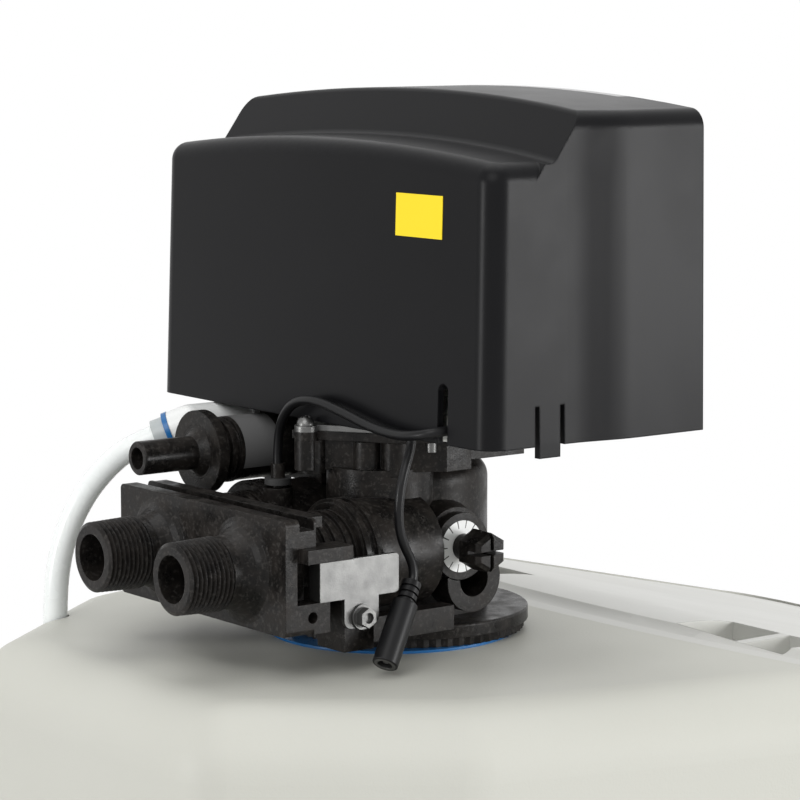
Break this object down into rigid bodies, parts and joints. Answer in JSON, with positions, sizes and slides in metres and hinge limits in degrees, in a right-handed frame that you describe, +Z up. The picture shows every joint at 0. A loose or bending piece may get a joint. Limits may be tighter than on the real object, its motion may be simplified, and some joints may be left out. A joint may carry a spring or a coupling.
{
  "type": "water softener",
  "caption": "Cabinet water softener with an inner resin tank, a top control valve under a lift-off cover, a rear pipe manifold and a hinged salt lid.",
  "frame": {"origin": "on the floor, under the vertical axis of the tank neck and control valve", "axes": "+Z up, +Y towards the rear pipe ports, -Y towards the salt lid and the control face, +X to the right as seen from the front"},
  "size_m": [0.344, 0.5, 1.0935],
  "materials": {
    "cabinet_plastic": "satin moulded",
    "lid_plastic": "satin moulded",
    "pin_plastic": "plain moulded",
    "tank_fibre": "wound fibre",
    "boot_rubber": "plain",
    "resin_beads": "fine beads",
    "white_plastic": "plain moulded",
    "seal_rubber": "smooth",
    "blue_plastic": "smooth",
    "valve_plastic": "glass filled, mottled",
    "steel": "bead blasted",
    "label_grey": "paper",
    "grey_plastic": "smooth",
    "tube_plastic": "translucent",
    "lead_plastic": "soft sheath",
    "cover_plastic": "satin moulded",
    "label_yellow": "plain",
    "board_green": "coated",
    "glass": "dark",
    "button_grey": "smooth"
  },
  "bodies": {
    "cabinet": {"cabinet_shell": "cabinet_plastic", "lid_hinge_pins": "pin_plastic", "resin_tank": "tank_fibre", "tank_boot": "boot_rubber", "resin_bed": "resin_beads", "riser_tube": "white_plastic", "lower_basket": "white_plastic", "upper_basket": "white_plastic", "tank_seal": "seal_rubber", "tank_neck_ring": "blue_plastic", "brine_well": "white_plastic", "brine_well_cap": "white_plastic", "float_valve_body": "pin_plastic", "valve_body": "valve_plastic", "valve_plate": "valve_plastic", "spring_plate": "steel", "plate_screws": "steel", "valve_flappers": "pin_plastic", "injector": "pin_plastic", "injector_cap": "valve_plastic", "manifold": "valve_plastic", "pipe_couplings": "valve_plastic", "retaining_clips": "steel", "clip_screws": "steel", "turbine_cage": "pin_plastic", "drain_housing": "valve_plastic", "drain_label": "label_grey", "drain_stub": "valve_plastic", "flow_washer": "pin_plastic", "drain_clip": "valve_plastic", "brine_elbow": "white_plastic", "locking_clip": "blue_plastic", "brine_collet": "grey_plastic", "brine_tube": "tube_plastic", "blending_cap": "valve_plastic", "blending_dial": "white_plastic", "dc_jack": "lead_plastic", "jack_contact": "steel", "jack_lead": "lead_plastic", "sensor_plug": "valve_plastic", "cable_tie": "boot_rubber", "sensor_lead": "lead_plastic", "control_base": "pin_plastic", "motor": "steel", "circuit_board": "board_green", "display": "glass", "fascia": "cover_plastic"},
    "lid": {"salt_lid": "lid_plastic"},
    "lifted_cover": {"cover": "cover_plastic", "cover_label": "label_yellow"},
    "cams": {"camshaft": "pin_plastic", "drive_gear": "pin_plastic"},
    "pinion": {"motor_pinion": "pin_plastic"},
    "knob": {"blending_knob": "valve_plastic"},
    "meter": {"turbine": "pin_plastic"},
    "float": {"brine_float": "pin_plastic"},
    "set_button": {"button_set": "button_grey"},
    "down_button": {"button_down": "button_grey"},
    "up_button": {"button_up": "button_grey"},
    "regenerate_button": {"button_regenerate": "button_grey"}
  },
  "joints": [
    {"name": "lid_hinge", "type": "hinge", "parent": "cabinet", "child": "lid", "pos_m": [0.006, -0.098, 0.8792], "axis": [-1, 0, 0], "range_deg": [0, 85]},
    {"name": "cover_lift", "type": "slide", "parent": "cabinet", "child": "lifted_cover", "axis": [0, 0, 1], "range_m": [0, 0.13]},
    {"name": "knob_turn", "type": "hinge", "parent": "cabinet", "child": "knob", "pos_m": [-0.05, 0.006, 0.9274], "axis": [-1, 0, 0], "range_deg": [0, 270]},
    {"name": "camshaft_turn", "type": "hinge", "parent": "cabinet", "child": "cams", "pos_m": [-0.014, 0, 0.9914], "axis": [0, 1, 0], "continuous": true},
    {"name": "pinion_turn", "type": "hinge", "parent": "cabinet", "child": "pinion", "pos_m": [-0.014, 0, 1.0114], "axis": [0, 1, 0], "continuous": true},
    {"name": "turbine_spin", "type": "hinge", "parent": "cabinet", "child": "meter", "pos_m": [0.0262, 0.0655, 0.9266], "axis": [0, 1, 0], "continuous": true},
    {"name": "float_rise", "type": "slide", "parent": "cabinet", "child": "float", "axis": [0, 0, 1], "range_m": [0, 0.05]},
    {"name": "set_press", "type": "slide", "parent": "cabinet", "child": "set_button", "axis": [0, 1, 0], "range_m": [0, 0.0008], "stiffness_N_per_m": 300},
    {"name": "down_press", "type": "slide", "parent": "cabinet", "child": "down_button", "axis": [0, 1, 0], "range_m": [0, 0.0008], "stiffness_N_per_m": 300},
    {"name": "up_press", "type": "slide", "parent": "cabinet", "child": "up_button", "axis": [0, 1, 0], "range_m": [0, 0.0008], "stiffness_N_per_m": 300},
    {"name": "regenerate_press", "type": "slide", "parent": "cabinet", "child": "regenerate_button", "axis": [0, 1, 0], "range_m": [0, 0.0008], "stiffness_N_per_m": 300}
  ],
  "couplings": [
    {"joint": "pinion_turn", "follows": "camshaft_turn", "ratio": -3}
  ]
}
